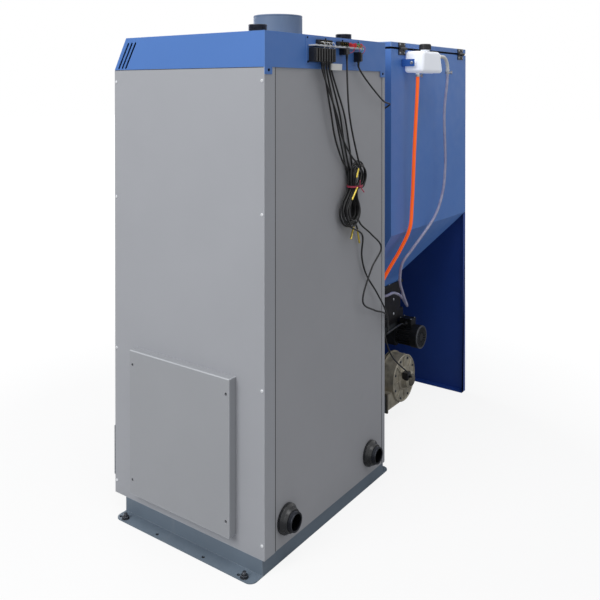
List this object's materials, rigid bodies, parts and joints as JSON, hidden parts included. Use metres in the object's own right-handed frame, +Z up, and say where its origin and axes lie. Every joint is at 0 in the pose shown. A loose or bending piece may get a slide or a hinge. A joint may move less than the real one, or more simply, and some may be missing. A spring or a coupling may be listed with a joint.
{
  "type": "pellet boiler",
  "caption": "Steel pellet boiler cabinet with a blue hood, doors and ash drawer, fed by an auger and blower under a blue side hopper with a lid and a small water tank.",
  "frame": {"origin": "on the floor, at the middle of the rectangle of the four end anchor holes in the base", "axes": "+Z up, towards the flue outlet; +Y to the rear, the way the return stubs point; -Y to the doors; the hopper stands on the -X side"},
  "size_m": [1.564, 0.7401, 1.577],
  "materials": {
    "base_paint": "graphite powder coat",
    "bolt_steel": "blackened",
    "vessel_steel": "dark heat-proof paint",
    "mineral_wool": "mineral wool mat",
    "casing_grey": "light grey powder coat",
    "rear_grey": "grey powder coat",
    "hood_blue": "blue powder coat",
    "white_screw": "white painted heads",
    "dark_screw": "blackened",
    "flue_steel": "blue-grey heat-proof paint",
    "stub_steel": "blackened steel",
    "rosette_rubber": "matt",
    "plate_blue": "blue powder coat",
    "strip_plastic": "light grey",
    "plug_plastic": "black",
    "red_plastic": "red",
    "green_plastic": "green",
    "display_glass": "dark window",
    "knob_metal": "satin silver",
    "switch_plastic": "dark red",
    "door_paint": "graphite powder coat",
    "handle_black": "black",
    "seal_rope": "glass-fibre rope",
    "burner_steel": "black heat-proof paint",
    "auger_steel": "worn steel",
    "gearbox_iron": "black paint",
    "motor_paint": "black paint",
    "fan_plastic": "grey",
    "blower_cast": "die cast",
    "hopper_blue": "blue powder coat",
    "hopper_navy": "blue powder coat",
    "lid_blue": "blue powder coat",
    "seal_rubber": "foam strip",
    "tank_plastic": "white moulded",
    "cap_plastic": "black",
    "elbow_plastic": "pale",
    "orange_rubber": "orange silicone",
    "clear_plastic": "clear hose",
    "cable_rubber": "black sheath",
    "tip_brass": "sensor tip"
  },
  "bodies": {
    "boiler": {"base_frame": "base_paint", "levelling_bolts": "bolt_steel", "boiler_vessel": "vessel_steel", "insulation": "mineral_wool", "side_panel_right": "casing_grey", "side_panel_left": "casing_grey", "rear_panel": "rear_grey", "front_panel": "casing_grey", "hood": "hood_blue", "casing_screws": "white_screw", "side_cover": "casing_grey", "black_screws": "dark_screw", "flue_pipe": "flue_steel", "pipe_stubs": "stub_steel", "pipe_rosettes": "rosette_rubber", "connection_plate": "plate_blue", "connector_strip": "strip_plastic", "socket_blocks": "plug_plastic", "cable_plugs": "plug_plastic", "red_terminals": "red_plastic", "green_terminals": "green_plastic", "control_housing": "plug_plastic", "display_window": "display_glass", "door_hinge_pins": "bolt_steel", "burner": "burner_steel", "feeder_tube": "burner_steel", "gearbox": "gearbox_iron", "gear_motor": "motor_paint", "motor_cowl": "motor_paint", "blower_housing": "blower_cast", "blower_duct": "burner_steel", "drop_box": "burner_steel", "hopper_bin": "hopper_blue", "hopper_casing": "hopper_navy", "lid_hinge_brackets": "bolt_steel", "water_tank": "tank_plastic", "tank_bracket": "plate_blue", "tank_elbow": "elbow_plastic", "orange_hose": "orange_rubber", "clear_hose": "clear_plastic", "cable_hank": "cable_rubber", "cable_runs": "cable_rubber", "sensor_tips": "tip_brass"},
    "furnace_door": {"furnace_door": "door_paint", "furnace_seal": "seal_rope"},
    "furnace_handle": {"furnace_handle": "handle_black"},
    "cleaning_door": {"cleaning_door": "door_paint", "cleaning_seal": "seal_rope"},
    "cleaning_handle": {"cleaning_handle": "handle_black"},
    "ash_drawer": {"ash_drawer": "door_paint"},
    "selector_knob": {"selector_knob": "knob_metal"},
    "power_switch": {"power_switch": "switch_plastic"},
    "feeder_auger": {"feeder_auger": "auger_steel"},
    "motor_fan": {"motor_fan": "fan_plastic"},
    "blower_impeller": {"blower_impeller": "blower_cast"},
    "hopper_lid": {"hopper_lid": "lid_blue", "lid_seal": "seal_rubber", "lid_hinge_leaves": "bolt_steel", "lid_handle": "handle_black"},
    "tank_cap": {"tank_cap": "cap_plastic"}
  },
  "joints": [
    {"name": "furnace_door_hinge", "type": "hinge", "parent": "boiler", "child": "furnace_door", "pos_m": [0.262, -0.325, 0.451], "axis": [0, 0, 1], "range_deg": [0, 110]},
    {"name": "furnace_handle_turn", "type": "hinge", "parent": "furnace_door", "child": "furnace_handle", "pos_m": [-0.228, -0.33, 0.451], "axis": [0, 1, 0], "range_deg": [0, 90]},
    {"name": "cleaning_door_hinge", "type": "hinge", "parent": "boiler", "child": "cleaning_door", "pos_m": [0.262, -0.325, 1.015], "axis": [0, 0, 1], "range_deg": [0, 110]},
    {"name": "cleaning_handle_turn", "type": "hinge", "parent": "cleaning_door", "child": "cleaning_handle", "pos_m": [-0.228, -0.33, 1.015], "axis": [0, 1, 0], "range_deg": [0, 90]},
    {"name": "ash_drawer_slide", "type": "slide", "parent": "boiler", "child": "ash_drawer", "axis": [0, -1, 0], "range_m": [0, 0.42]},
    {"name": "hopper_lid_hinge", "type": "hinge", "parent": "boiler", "child": "hopper_lid", "pos_m": [-0.8395, 0.249, 1.493], "axis": [-1, 0, 0], "range_deg": [0, 95]},
    {"name": "tank_cap_turn", "type": "hinge", "parent": "boiler", "child": "tank_cap", "pos_m": [-0.66, 0.2993, 1.495], "axis": [0, 0, 1], "range_deg": [0, 360]},
    {"name": "auger_turn", "type": "hinge", "parent": "boiler", "child": "feeder_auger", "pos_m": [-0.6, 0, 0.335], "axis": [1, 0, 0], "continuous": true},
    {"name": "motor_fan_turn", "type": "hinge", "parent": "boiler", "child": "motor_fan", "pos_m": [-0.9305, 0.13, 0.288], "axis": [0, 1, 0], "continuous": true},
    {"name": "blower_turn", "type": "hinge", "parent": "boiler", "child": "blower_impeller", "pos_m": [-0.775, 0.12, 0.164], "axis": [0, 1, 0], "continuous": true},
    {"name": "knob_turn", "type": "hinge", "parent": "boiler", "child": "selector_knob", "pos_m": [0.04, -0.278, 1.45], "axis": [0, -0.8799, 0.4751], "continuous": true},
    {"name": "power_switch_rock", "type": "hinge", "parent": "boiler", "child": "power_switch", "pos_m": [0.078, -0.27712, 1.44952], "axis": [1, 0, 0], "range_deg": [0, 14]}
  ],
  "couplings": [
    {"joint": "motor_fan_turn", "follows": "auger_turn", "ratio": 20}
  ]
}
